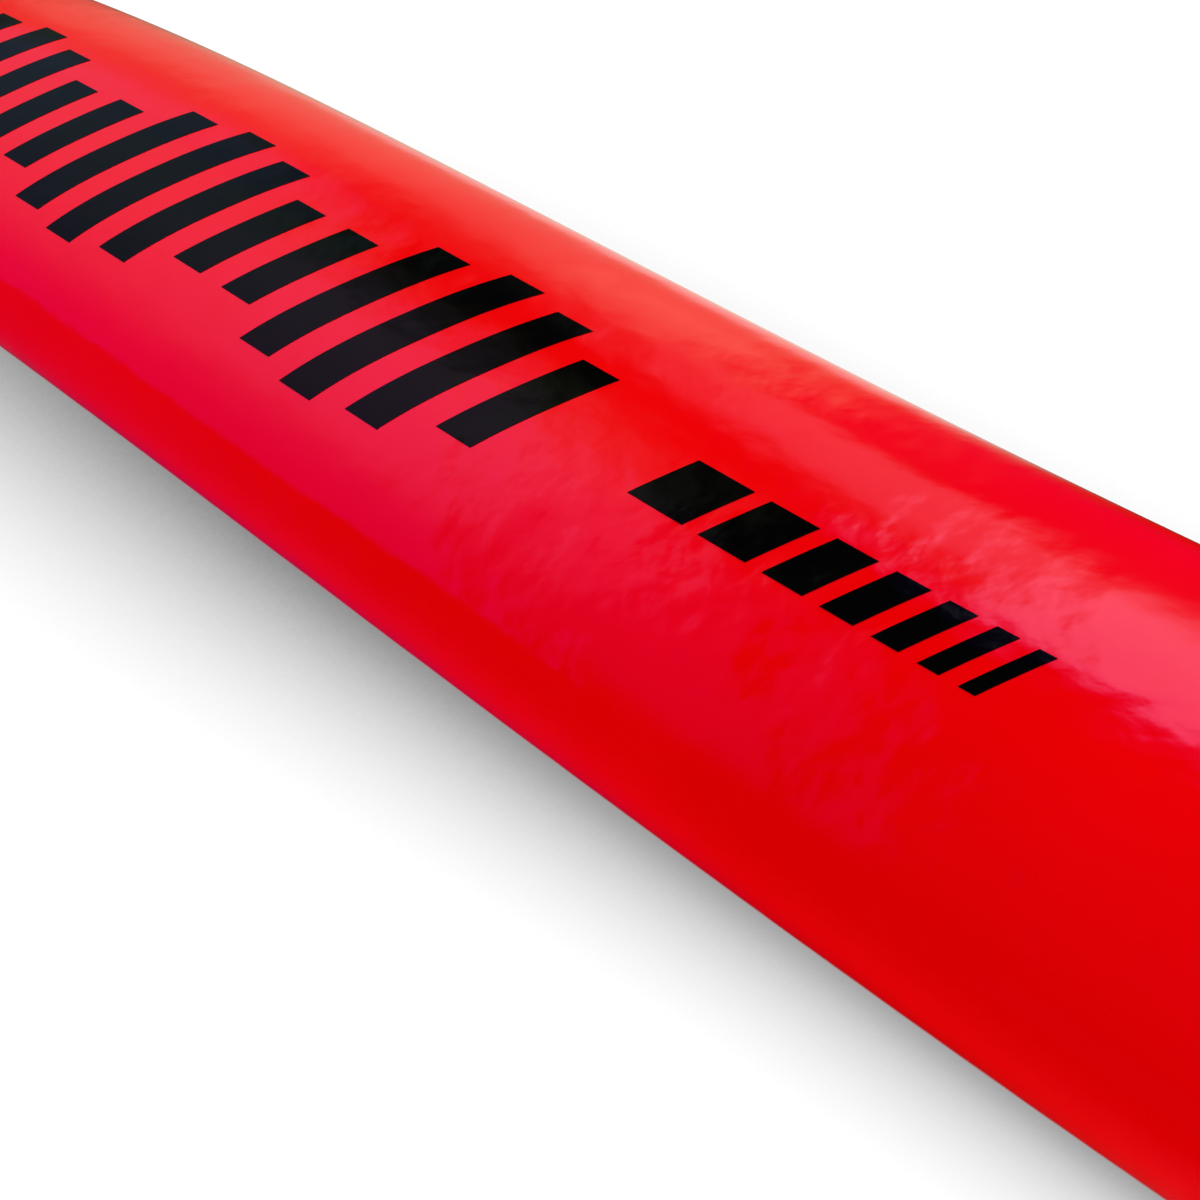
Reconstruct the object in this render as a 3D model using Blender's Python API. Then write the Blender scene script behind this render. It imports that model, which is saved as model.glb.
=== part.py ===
# Field hockey stick, lying on its flat playing face: +X runs from the butt to the head,
# +Y points to the toe's side and +Z to the rounded back. Lengths are in metres.
# Every rigid piece is a loft through D-shaped sections, flat below and domed above.
import math

import bmesh
import bpy
import numpy as np

MM = 0.001

# Lengths down the stick, which add up to 927 mm or 36.5 inches
CAP_LIP_LENGTH = 5 * MM
GRIP_LENGTH = 301 * MM
HANDLE_PAST_GRIP = 39 * MM     # even section below the grip
TAPER_LENGTH = 282 * MM        # from the handle's section to the shaft's full width
BLADE_LENGTH = 300 * MM        # from the full width to the bottom of the head

# Width at each place
HANDLE_WIDTH = 29.5 * MM
SHAFT_WIDTH = 46.2 * MM
HEEL_WIDTH = 47.0 * MM
HOOK_WIDTH = 44.5 * MM
TOE_WIDTH = 38.5 * MM

# Thickness from the playing face to the top of the dome
HANDLE_THICKNESS = 25.5 * MM
SHAFT_THICKNESS = 19.0 * MM
HEEL_THICKNESS = 20.5 * MM
HOOK_THICKNESS = 24.0 * MM
TOE_THICKNESS = 21.5 * MM

# Rounding between the playing face and the widest line of the section
HANDLE_EDGE_HEIGHT = 12.0 * MM
HANDLE_CORNER = 10.5 * MM
BLADE_EDGE_HEIGHT = 8.0 * MM
BLADE_CORNER = 7.5 * MM
DOME_POWER = 2.3               # superellipse power of the back: 2 is an ellipse, more is squarer

# Hook of the head, in plan
HOOK_INNER_RADIUS = 9 * MM     # inside of the crook, at its tightest
HOOK_TURN = math.radians(167)
BEND_IN = 100 * MM             # length over which the shaft curves into the hook
BEND_OUT = 44 * MM             # length over which the hook straightens towards the toe

# Bow, the arch that lifts the shaft off the surface
BOW_HEIGHT = 20.0 * MM
BOW_PEAK = 370 * MM            # above the bottom of the head
FLAT_HEAD = 105 * MM           # stretch at the head whose playing face is one plane

# Laminate and cores
LAMINATE_WALL = 2.3 * MM
CORE_TUBE_WALL = 1.1 * MM
WEB_THICKNESS = 1.2 * MM
GAP = 0.3 * MM                 # bond line between touching pieces
CORE_FOAM_START = 15 * MM      # head foam begins this far above the bend
TUBE_STOP_LENGTH = 30 * MM
BUTT_PLUG_LENGTH = 34 * MM

# Butt cap
CAP_LIP_ROUND = 1.8 * MM
CAP_LIP_PROUD = 0.4 * MM       # how far the lip stands past the wound grip
CAP_SPIGOT_LENGTH = 13 * MM

# Grip
UNDERLAY_THICKNESS = 1.0 * MM
TAPE_THICKNESS = 1.6 * MM
TAPE_EDGE_THICKNESS = 0.9 * MM
TAPE_BEVEL = 1.6 * MM          # width of the sloping edge of the tape
TAPE_PITCH = 21.5 * MM
TAPE_SEAM = 0.7 * MM           # groove left between one turn and the next
TAPE_LEAST_WIDTH = 2.5 * MM    # width of the trimmed point at each end of the tape
FINISH_TAPE_THICKNESS = 0.5 * MM
FINISH_TAPE_ON_GRIP = 9 * MM
FINISH_TAPE_STEP = 3 * MM
FINISH_TAPE_ON_SHAFT = 14 * MM

# Fineness of the lofts
CORNER_STEPS = 4
DOME_STEPS = 14
SHAFT_RINGS = 32
HOOK_RINGS = 28
TOE_RINGS = 6
LAST_TOE_ANGLE = math.radians(78)
CENTRE_LINE_STEP = 0.25 * MM

STICK_LENGTH = CAP_LIP_LENGTH + GRIP_LENGTH + HANDLE_PAST_GRIP + TAPER_LENGTH + BLADE_LENGTH
HOOK_RADIUS = HOOK_INNER_RADIUS + HOOK_WIDTH / 2

# Distances from the laminate's surface out to each layer of the grip
UNDERLAY_INSIDE = GAP
UNDERLAY_OUTSIDE = UNDERLAY_INSIDE + UNDERLAY_THICKNESS
TAPE_INSIDE = UNDERLAY_OUTSIDE + GAP
TAPE_OUTSIDE = TAPE_INSIDE + TAPE_THICKNESS
LIP_OUTSIDE = TAPE_OUTSIDE + CAP_LIP_PROUD


def eased(places, values, at):
    """Monotone cubic through a few values: it never swings past them and is level at both ends."""
    places, values = np.array(places), np.array(values)
    step = np.diff(places)
    rise = np.diff(values) / step
    slope = np.zeros(len(places))
    for k in range(1, len(places) - 1):
        if rise[k - 1] * rise[k] > 0:
            before, after = step[k] * 2 + step[k - 1], step[k] + step[k - 1] * 2
            slope[k] = (before + after) / (before / rise[k - 1] + after / rise[k])
    k = int(np.clip(np.searchsorted(places, at, side="right") - 1, 0, len(step) - 1))
    t = min(max((at - places[k]) / step[k], 0.0), 1.0)
    return (values[k] * (1 + 2 * t) * (1 - t) ** 2 + step[k] * slope[k] * t * (1 - t) ** 2
            + values[k + 1] * t * t * (3 - 2 * t) + step[k] * slope[k + 1] * t * t * (t - 1))


def hook_centre_line():
    """Centre line of the head in plan, from the start of the bend, as rows of s, x, y, heading."""
    tightest = 1 / HOOK_RADIUS
    arc = HOOK_RADIUS * HOOK_TURN - BEND_IN / 3 - BEND_OUT / 2
    length = BEND_IN + arc + BEND_OUT
    s = np.linspace(0, length, int(round(length / CENTRE_LINE_STEP)) + 1)
    rising = np.minimum(s / BEND_IN, 1) ** 2
    falling = np.clip((length - s) / BEND_OUT, 0, 1)
    bend = tightest * np.minimum(rising, falling)
    step = s[1] - s[0]
    heading = np.concatenate([[0], np.cumsum((bend[1:] + bend[:-1]) / 2 * step)])
    middle = (heading[1:] + heading[:-1]) / 2
    x = np.concatenate([[0], np.cumsum(np.cos(middle) * step)])
    y = np.concatenate([[0], np.cumsum(np.sin(middle) * step)])
    return np.stack([s, x, y, heading], axis=1)


CENTRE_LINE = hook_centre_line()
HOOK_LENGTH = CENTRE_LINE[-1, 0]
HOOK_BOTTOM = CENTRE_LINE[np.argmax(CENTRE_LINE[:, 1]), 0]
HEAD_REACH = CENTRE_LINE[:, 1].max() + HOOK_WIDTH / 2
BUTT_S = HEAD_REACH - STICK_LENGTH + CAP_LIP_LENGTH     # laminate's open end, along the centre line
GRIP_START_S = BUTT_S + GAP
GRIP_END_S = GRIP_START_S + GRIP_LENGTH
TAPER_START_S = BUTT_S + GRIP_LENGTH + HANDLE_PAST_GRIP
TAPER_END_S = TAPER_START_S + TAPER_LENGTH


def size_at(s, handle, shaft, heel, hook, toe):
    """One size of the section at s, given its value at each named place."""
    places = [TAPER_START_S, TAPER_END_S, HOOK_BOTTOM / 2, HOOK_BOTTOM, HOOK_LENGTH]
    return eased(places, [handle, shaft, heel, hook, toe], s)


def bow_at(x):
    """Height of the playing face above the surface that the stick lies on."""
    above = HEAD_REACH - x
    t = np.clip((above - FLAT_HEAD) / (BOW_PEAK - FLAT_HEAD), 0, 1)
    rise = BOW_HEIGHT * t * t * (3 - 2 * t)
    fall = np.clip((above - BOW_PEAK) / (STICK_LENGTH - BOW_PEAK), 0, 1)
    return rise - (BOW_HEIGHT - LIP_OUTSIDE) * fall * fall * (3 - fall) / 2


def section(s):
    """Outline of the laminate across the stick at s: flat face, corner, dome, corner, as (across, up)."""
    half = size_at(s, HANDLE_WIDTH, SHAFT_WIDTH, HEEL_WIDTH, HOOK_WIDTH, TOE_WIDTH) / 2
    thick = size_at(s, HANDLE_THICKNESS, SHAFT_THICKNESS, HEEL_THICKNESS, HOOK_THICKNESS, TOE_THICKNESS)
    edge = size_at(s, HANDLE_EDGE_HEIGHT, *[BLADE_EDGE_HEIGHT] * 4)
    corner = size_at(s, HANDLE_CORNER, *[BLADE_CORNER] * 4)
    turn = np.linspace(0, math.pi / 2, CORNER_STEPS + 1)
    right = np.stack([half - corner + corner * np.sin(turn), edge * (1 - np.cos(turn))], axis=1)
    over = np.linspace(0, math.pi, DOME_STEPS + 1)[1:-1]
    dome_v = half * np.cos(over)
    dome_n = edge + (thick - edge) * (1 - np.abs(np.cos(over)) ** DOME_POWER) ** (1 / DOME_POWER)
    left = right[::-1] * [-1, 1]
    return np.concatenate([right, np.stack([dome_v, dome_n], axis=1), left])


def inset(outline, distance):
    """The outline with every side moved inwards by distance, or outwards where it is negative."""
    side = np.roll(outline, -1, axis=0) - outline
    normal = np.stack([-side[:, 1], side[:, 0]], axis=1)
    normal /= np.linalg.norm(normal, axis=1)[:, None]
    before = np.roll(normal, 1, axis=0)
    share = 1 + (normal * before).sum(axis=1)[:, None]
    return outline + distance * (normal + before) / share


def placed(s, outline, ahead=0.0):
    """The outline set across the centre line at s, moved ahead along its heading, and lifted by the bow."""
    row = np.array([np.interp(s, CENTRE_LINE[:, 0], CENTRE_LINE[:, k]) for k in (1, 2, 3)])
    x, y, heading = row + [min(s, 0.0), 0.0, 0.0]
    v, n = outline[:, 0], outline[:, 1]
    px = x + ahead * math.cos(heading) - v * math.sin(heading)
    py = y + ahead * math.sin(heading) + v * math.cos(heading)
    return np.stack([px, py, n + bow_at(px)], axis=1)


def stations(start, end):
    """Places for rings between start and end, shared by all pieces so that their facets lie parallel."""
    shared = np.concatenate([np.linspace(BUTT_S, 0, SHAFT_RINGS), np.linspace(0, HOOK_LENGTH, HOOK_RINGS)[1:]])
    near = (end - start) / 1000
    inner = shared[(shared > start + near) & (shared < end - near)]
    return [start, *inner, end]


def toe_rings(depth):
    """Rings that round off the toe, as its half section turned about an upright axis, and their tip."""
    outline = inset(section(HOOK_LENGTH), depth)
    reach = outline[:, 0].max()
    widest = outline[CORNER_STEPS, 1]
    order = np.argsort(np.abs(outline[:, 0]))
    upper = [k for k in order if outline[k, 1] >= widest]
    lower = [k for k in order if outline[k, 1] <= widest]
    rings = []
    for angle in np.linspace(0, LAST_TOE_ANGLE, TOE_RINGS + 1)[1:]:
        v = outline[:, 0] * math.cos(angle)
        from_axis = np.hypot(v, reach * math.sin(angle))
        top = np.interp(from_axis, np.abs(outline[upper, 0]), outline[upper, 1])
        bottom = np.interp(from_axis, np.abs(outline[lower, 0]), outline[lower, 1])
        n = np.where(outline[:, 1] > widest, top, bottom)
        rings.append(placed(HOOK_LENGTH, np.stack([v, n], axis=1), reach * math.sin(angle)))
    tip = placed(HOOK_LENGTH, np.array([[0.0, widest]]), reach)
    return rings, tip[0]


def body_rings(depth, start):
    """Rings of the laminate's surface moved in by depth, from start to the toe, and the toe's tip."""
    rings = [placed(s, inset(section(s), depth)) for s in stations(start, HOOK_LENGTH)]
    more, tip = toe_rings(depth)
    return rings + more, tip


def half_outline(s, side):
    """Room for one core tube: the cavity's outline cut along the web, on side +1 (toe) or -1 (heel)."""
    cavity = inset(section(s), LAMINATE_WALL + GAP) * [side, 1]
    if side < 0:
        cavity = cavity[::-1]
    web_side = WEB_THICKNESS / 2 + GAP
    kept = []
    for first, second in zip(cavity, np.roll(cavity, -1, axis=0)):
        if first[0] >= web_side:
            kept.append(first)
        if (first[0] - web_side) * (second[0] - web_side) < 0:
            share = (web_side - first[0]) / (second[0] - first[0])
            kept.append(first + share * (second - first))
    lowest_on_web = min((k for k in range(len(kept)) if kept[k][0] < web_side + GAP / 10),
                        key=lambda k: kept[k][1])
    kept = np.array(kept[lowest_on_web:] + kept[:lowest_on_web]) * [side, 1]
    return kept if side > 0 else kept[::-1]


def join_rings(mesh, rings, flipped=False):
    """Skins the rings with quads and returns their vertices. The rings run anticlockwise about +X."""
    rows = [[mesh.verts.new(point) for point in ring] for ring in rings]
    for first, second in zip(rows, rows[1:]):
        for k in range(len(first)):
            quad = [first[k - 1], second[k - 1], second[k], first[k]]
            mesh.faces.new(quad if flipped else quad[::-1])
    return rows


def close_end(mesh, row, at_end, tip=None):
    """Closes a loft with one flat face, or with a fan to the tip."""
    if tip is None:
        mesh.faces.new(row if at_end else row[::-1])
        return
    point = mesh.verts.new(tip)
    for k in range(len(row)):
        fan = [row[k - 1], row[k], point]
        mesh.faces.new(fan if at_end else fan[::-1])


def close_rim(mesh, outer, inner, at_end):
    """Joins the outer and inner skins of a hollow piece round an open end."""
    for k in range(len(outer)):
        quad = [outer[k - 1], outer[k], inner[k], inner[k - 1]]
        mesh.faces.new(quad if at_end else quad[::-1])


def finished(name, mesh, material, collection, sharp=35):
    """Turns a bmesh into a smooth-shaded object of the stick."""
    data = bpy.data.meshes.new(name)
    mesh.to_mesh(data)
    mesh.free()
    data.shade_smooth()
    data.set_sharp_from_angle(angle=math.radians(sharp))
    data.materials.append(material)
    made = bpy.data.objects.new(name, data)
    collection.objects.link(made)
    return made


def solid_loft(name, rings, material, collection, tip=None):
    mesh = bmesh.new()
    rows = join_rings(mesh, rings)
    close_end(mesh, rows[0], at_end=False)
    close_end(mesh, rows[-1], at_end=True, tip=tip)
    return finished(name, mesh, material, collection)


def hollow_loft(name, outer, inner, material, collection, tips=None):
    """A wall between two skins, open at the start, and at the end too unless tips close it."""
    mesh = bmesh.new()
    outside = join_rings(mesh, outer)
    inside = join_rings(mesh, inner, flipped=True)
    close_rim(mesh, outside[0], inside[0], at_end=False)
    if tips is None:
        close_rim(mesh, outside[-1], inside[-1], at_end=True)
    else:
        close_end(mesh, outside[-1], at_end=True, tip=tips[0])
        close_end(mesh, inside[-1], at_end=False, tip=tips[1])
    return finished(name, mesh, material, collection)


def make_laminate(material, collection):
    """The moulded composite skin of handle, shaft and head, open at the butt."""
    outer, outer_tip = body_rings(0, BUTT_S)
    inner, inner_tip = body_rings(LAMINATE_WALL, BUTT_S)
    return hollow_loft("outer_laminate", outer, inner, material, collection, (outer_tip, inner_tip))


def make_head_core(material, collection):
    """Rigid foam that fills the head from above the bend to the toe."""
    rings, tip = body_rings(LAMINATE_WALL + GAP, -CORE_FOAM_START + GAP)
    return solid_loft("head_foam_core", rings, material, collection, tip)


def make_core_side(name, side, materials, collection):
    """One core tube with the foam pieces in its two ends."""
    top, bottom = BUTT_S + CAP_SPIGOT_LENGTH + GAP, -CORE_FOAM_START
    outer = [placed(s, half_outline(s, side)) for s in stations(top, bottom)]
    inner = [placed(s, inset(half_outline(s, side), CORE_TUBE_WALL)) for s in stations(top, bottom)]
    hollow_loft(f"{name}_core_tube", outer, inner, materials["tube"], collection)
    stop, plug = bottom - TUBE_STOP_LENGTH, top + BUTT_PLUG_LENGTH
    for piece, start, end in (("tube_stop", stop, bottom), ("butt_plug", top, plug)):
        rings = [placed(s, inset(half_outline(s, side), CORE_TUBE_WALL + GAP)) for s in stations(start, end)]
        solid_loft(f"{name}_{piece}", rings, materials["foam"], collection)


def make_web(material, collection):
    """The stiffening rib between the two core tubes, as tall as the cavity."""
    half = WEB_THICKNESS / 2
    rings = []
    for s in stations(BUTT_S + CAP_SPIGOT_LENGTH + GAP, -CORE_FOAM_START):
        cavity = inset(section(s), LAMINATE_WALL + GAP)
        dome = cavity[CORNER_STEPS:-CORNER_STEPS][::-1]
        top = np.interp(half, dome[:, 0], dome[:, 1])
        bottom = cavity[:, 1].min()
        rings.append(placed(s, np.array([[-half, bottom], [half, bottom], [half, top], [-half, top]])))
    return solid_loft("web_strip", rings, material, collection)


def make_butt_cap(material, collection):
    """Cap with a spigot in the laminate's open end and a rounded lip that ends the grip."""
    across = section(BUTT_S)
    spigot = inset(across, LAMINATE_WALL + GAP)
    lip = inset(across, -LIP_OUTSIDE)
    lip_inner_face = BUTT_S - GAP
    end_face = BUTT_S - CAP_LIP_LENGTH
    rings = [placed(end_face, inset(lip, CAP_LIP_ROUND))]
    for angle in (math.radians(45), math.radians(90)):
        depth = CAP_LIP_ROUND * (1 - math.sin(angle))
        rings.append(placed(end_face + CAP_LIP_ROUND * (1 - math.cos(angle)), inset(lip, depth)))
    rings.append(placed(lip_inner_face, lip))
    rings.append(placed(lip_inner_face, spigot))
    rings.append(placed(BUTT_S + CAP_SPIGOT_LENGTH, spigot))
    return solid_loft("butt_cap", rings, material, collection)


def make_underlay(material, collection):
    """Cushion sleeve on the handle, wholly under the wound tape."""
    places = stations(GRIP_START_S, GRIP_END_S - FINISH_TAPE_ON_GRIP / 2)
    outer = [placed(s, inset(section(s), -UNDERLAY_OUTSIDE)) for s in places]
    inner = [placed(s, inset(section(s), -UNDERLAY_INSIDE)) for s in places]
    return hollow_loft("cushion_underlay", outer, inner, material, collection)


def tape_outline(s, corner_index, height):
    """One point of the handle's section, that far out from the laminate, as (across, up)."""
    return inset(section(s), -height)[corner_index]


def tape_rings():
    """Cross-sections of the tape, one at each corner of the handle's section, turn after turn."""
    count = len(section(BUTT_S))
    turns = GRIP_LENGTH / TAPE_PITCH + 1
    half = (TAPE_PITCH - TAPE_SEAM) / 2
    rings = []
    for k in range(math.ceil(turns * count) + 1):
        middle = GRIP_START_S - TAPE_PITCH / 2 + TAPE_PITCH * k / count
        low, high = max(middle - half, GRIP_START_S), min(middle + half, GRIP_END_S)
        if high - low < TAPE_LEAST_WIDTH:
            continue
        bevel = min(TAPE_BEVEL, (high - low) / 3)
        profile = [(low, TAPE_INSIDE), (high, TAPE_INSIDE), (high, TAPE_INSIDE + TAPE_EDGE_THICKNESS),
                   (high - bevel, TAPE_OUTSIDE), (low + bevel, TAPE_OUTSIDE),
                   (low, TAPE_INSIDE + TAPE_EDGE_THICKNESS)]
        rings.append(np.array([placed(s, tape_outline(s, k % count, height)[None])[0] for s, height in profile]))
    return rings


def make_grip_tape(material, collection):
    """The outer grip: one strip of tape wound down the handle, with a narrow groove between turns."""
    rings = tape_rings()
    turn = len(section(BUTT_S))
    gaps = [np.linalg.norm(rings[k][1] - rings[k + turn][0]) for k in range(len(rings) - turn)]
    print(f"grip tape: {len(rings) / turn:.1f} turns, least gap to itself {min(gaps) / MM:.2f} mm")
    return solid_loft("grip_tape", rings, material, collection)


def make_finishing_tape(material, collection):
    """Adhesive tape over the grip's lower edge: on the grip, down a short slope, and on the laminate."""
    edge = GRIP_END_S + GAP
    foot = edge + FINISH_TAPE_STEP
    steps = [(GRIP_END_S - FINISH_TAPE_ON_GRIP, TAPE_OUTSIDE + GAP), (edge, TAPE_OUTSIDE + GAP),
             (foot, GAP), (foot + FINISH_TAPE_ON_SHAFT, GAP)]
    inner = [placed(s, inset(section(s), -height)) for s, height in steps]
    outer = [placed(s, inset(section(s), -height - FINISH_TAPE_THICKNESS)) for s, height in steps]
    return hollow_loft("finishing_tape", outer, inner, material, collection)


def new_material(name, colour, roughness, metallic=0.0, coat=0.0):
    made = bpy.data.materials.new(name)
    made.use_nodes = True
    made.diffuse_color = (*colour, 1.0)
    shader = made.node_tree.nodes["Principled BSDF"]
    shader.inputs["Base Color"].default_value = (*colour, 1.0)
    shader.inputs["Roughness"].default_value = roughness
    shader.inputs["Metallic"].default_value = metallic
    shader.inputs["Coat Weight"].default_value = coat
    return made


def make_materials():
    return {
        "lacquer": new_material("red_lacquer", (0.78, 0.004, 0.006), 0.12, coat=1.0),
        "tube": new_material("carbon_core", (0.03, 0.03, 0.032), 0.45),
        "foam": new_material("rigid_foam", (0.78, 0.70, 0.48), 0.9),
        "rubber": new_material("cap_rubber", (0.018, 0.018, 0.02), 0.55),
        "cushion": new_material("cushion_foam", (0.06, 0.06, 0.065), 0.85),
        "tape": new_material("grip_polyurethane", (0.015, 0.015, 0.017), 0.6),
        "finish": new_material("finishing_vinyl", (0.02, 0.02, 0.022), 0.3),
    }


def middle_below(pieces):
    """Middle of the pieces' plan box, at the height of the surface that they lie on."""
    points = np.array([point.co for piece in pieces for point in piece.data.vertices])
    low, high = points.min(axis=0), points.max(axis=0)
    return [(low[0] + high[0]) / 2, (low[1] + high[1]) / 2, low[2]]


def make_stick():
    collection = bpy.data.collections.new("field_hockey_stick")
    bpy.context.scene.collection.children.link(collection)
    materials = make_materials()
    make_laminate(materials["lacquer"], collection)
    make_head_core(materials["foam"], collection)
    make_core_side("toe_side", 1, materials, collection)
    make_core_side("heel_side", -1, materials, collection)
    make_web(materials["tube"], collection)
    make_butt_cap(materials["rubber"], collection)
    make_underlay(materials["cushion"], collection)
    make_grip_tape(materials["tape"], collection)
    make_finishing_tape(materials["finish"], collection)
    middle = middle_below(collection.objects)
    for piece in collection.objects:
        piece.location = [-along for along in middle]


for old in list(bpy.data.objects):
    bpy.data.objects.remove(old)
make_stick()
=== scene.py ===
import math

import bpy
import numpy as np
from mathutils import Matrix, Vector


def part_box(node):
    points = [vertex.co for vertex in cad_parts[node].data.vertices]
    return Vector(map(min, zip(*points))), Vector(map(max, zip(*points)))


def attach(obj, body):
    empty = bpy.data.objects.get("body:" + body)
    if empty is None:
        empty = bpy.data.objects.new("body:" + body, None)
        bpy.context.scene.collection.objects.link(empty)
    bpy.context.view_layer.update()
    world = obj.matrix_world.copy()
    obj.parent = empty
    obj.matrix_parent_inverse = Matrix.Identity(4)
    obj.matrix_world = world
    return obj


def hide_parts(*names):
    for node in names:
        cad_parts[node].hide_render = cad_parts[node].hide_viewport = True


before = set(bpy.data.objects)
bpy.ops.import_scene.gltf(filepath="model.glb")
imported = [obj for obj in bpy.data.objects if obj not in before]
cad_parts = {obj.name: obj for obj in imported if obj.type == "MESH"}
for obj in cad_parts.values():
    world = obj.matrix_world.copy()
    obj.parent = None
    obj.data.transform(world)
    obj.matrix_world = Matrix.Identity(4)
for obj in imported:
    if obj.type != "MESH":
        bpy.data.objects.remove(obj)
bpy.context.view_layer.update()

mm = 0.001      # shapes are worked out in millimetres, and become metres when they become meshes

# The stick's own sizes, from the butt down to the toe. Lists give handle, shaft, heel, hook and toe.
stick = {
    "capLip": 5.0,
    "gripLength": 301.0,
    "handlePastGrip": 39.0,
    "taper": 282.0,
    "blade": 300.0,
    "width": [29.5, 46.2, 47.0, 44.5, 38.5],
    "thickness": [25.5, 19.0, 20.5, 24.0, 21.5],
    "edgeHeight": [12.0, 8.0, 8.0, 8.0, 8.0],
    "corner": [10.5, 7.5, 7.5, 7.5, 7.5],
    "domePower": 2.3,
    "wall": 2.3,
    "crookRadius": 9.0,
    "hookTurn": math.radians(167),
    "bendIn": 100.0,
    "bendOut": 44.0,
    "bowHeight": 20.0,
    "bowPeak": 370.0,
    "flatHead": 105.0,
    "lipProud": 3.6,
    "lineStep": 0.25,
}
stick["length"] = sum(stick[part] for part in ("capLip", "gripLength", "handlePastGrip", "taper", "blade"))


# Centre line of the head in plan: the bend rises with the square of the distance, holds, and falls evenly,
# the heading is its running sum, and x and y are the running sums of the heading's cosine and sine.
def hookLine():
    hookRadius = stick["crookRadius"] + stick["width"][3] / 2
    held = hookRadius * stick["hookTurn"] - stick["bendIn"] / 3 - stick["bendOut"] / 2
    length = stick["bendIn"] + held + stick["bendOut"]
    s = np.linspace(0, length, 1 + round(length / stick["lineStep"]))
    rising = np.minimum(s / stick["bendIn"], 1) ** 2
    falling = np.clip((length - s) / stick["bendOut"], 0, 1)
    bend = np.minimum(rising, falling) / hookRadius
    heading = np.concatenate([[0], np.cumsum((bend[1:] + bend[:-1]) / 2) * s[1]])
    middle = (heading[1:] + heading[:-1]) / 2
    x = np.concatenate([[0], np.cumsum(np.cos(middle)) * s[1]])
    y = np.concatenate([[0], np.cumsum(np.sin(middle)) * s[1]])
    return {"s": s, "x": x, "y": y, "heading": heading}


hook = hookLine()
headReach = hook["x"].max() + stick["width"][3] / 2
hookBottom = hook["s"][hook["x"].argmax()]
hookEnd = hook["s"][-1]
buttPlace = headReach - stick["length"] + stick["capLip"]       # the laminate's open end
taperStart = buttPlace + stick["gripLength"] + stick["handlePastGrip"]
sizePlaces = np.array([taperStart, taperStart + stick["taper"], hookBottom / 2, hookBottom, hookEnd])
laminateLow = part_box("outer_laminate")[0]
capLow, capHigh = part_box("butt_cap")
toFrame = np.array([laminateLow.x / mm - buttPlace, (capLow.y + capHigh.y) / 2 / mm, 0.0])


# A size along the stick: a cubic through the five values that never swings past them, level at both ends.
def sizeAt(s, name):
    values = np.array(stick[name])
    step = np.diff(sizePlaces)
    rise = np.diff(values) / step
    turning = rise[:-1] * rise[1:] > 0
    safe = np.where(rise == 0, 1, rise)
    before = step[1:] * 2 + step[:-1]
    after = step[1:] + step[:-1] * 2
    inner = np.where(turning, (before + after) / (before / safe[:-1] + after / safe[1:]), 0)
    slope = np.concatenate([[0], inner, [0]])
    k = np.clip(np.searchsorted(sizePlaces, s, side="right") - 1, 0, len(step) - 1)
    t = np.clip((s - sizePlaces[k]) / step[k], 0, 1)
    return (values[k] * (1 + 2 * t) * (1 - t) ** 2 + step[k] * slope[k] * t * (1 - t) ** 2
            + values[k + 1] * t * t * (3 - 2 * t) + step[k] * slope[k + 1] * t * t * (t - 1))


# Height of the playing face over the floor: a smooth step up to the bow's peak, then a slower fall to the
# butt.
def bowAt(x):
    above = headReach - x
    t = np.clip((above - stick["flatHead"]) / (stick["bowPeak"] - stick["flatHead"]), 0, 1)
    fall = np.clip((above - stick["bowPeak"]) / (stick["length"] - stick["bowPeak"]), 0, 1)
    drop = (stick["bowHeight"] - stick["lipProud"]) * fall * fall * (3 - fall) / 2
    return stick["bowHeight"] * t * t * (3 - 2 * t) - drop


# Height of the rounded back: the dome stands on the edge height and follows a superellipse across the width.
def domeAt(s, across):
    half = sizeAt(s, "width") / 2
    edge = sizeAt(s, "edgeHeight")
    share = np.clip(np.abs(across) / half, 0, 1) ** stick["domePower"]
    return edge + (sizeAt(s, "thickness") - edge) * (1 - share) ** (1 / stick["domePower"])


# Outline across the stick, for a whole column of places at once: a quarter ellipse up each side, the dome
# between them and a straight row of points along the flat face, as (across, up).
def outlineAt(s, cornerSteps, domeSteps, flatSteps):
    s = np.asarray(s, float)[:, None]
    half = sizeAt(s, "width") / 2
    edge = sizeAt(s, "edgeHeight")
    corner = sizeAt(s, "corner")
    turn = np.linspace(0, math.pi / 2, cornerSteps + 1)[None]
    cornerAcross = half - corner + corner * np.sin(turn)
    cornerUp = edge * (1 - np.cos(turn))
    domeAcross = half * np.cos(np.linspace(0, math.pi, domeSteps + 1)[1:-1])[None]
    flatAcross = (half - corner) * np.linspace(-1, 1, flatSteps + 1)[1:-1][None]
    across = np.concatenate([cornerAcross, domeAcross, -cornerAcross[:, ::-1], flatAcross], axis=1)
    up = np.concatenate([cornerUp, domeAt(s, domeAcross), cornerUp[:, ::-1], flatAcross * 0], axis=1)
    return np.stack([across, up], axis=2)


# Every outline moved in square to its sides by a distance, or out where the distance is negative.
def movedIn(outline, distance):
    side = np.roll(outline, -1, axis=-2) - outline
    normal = np.stack([-side[..., 1], side[..., 0]], axis=-1)
    normal = normal / np.linalg.norm(normal, axis=-1, keepdims=True)
    before = np.roll(normal, 1, axis=-2)
    share = 1 + (normal * before).sum(axis=-1, keepdims=True)
    return outline + distance * (normal + before) / share


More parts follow.
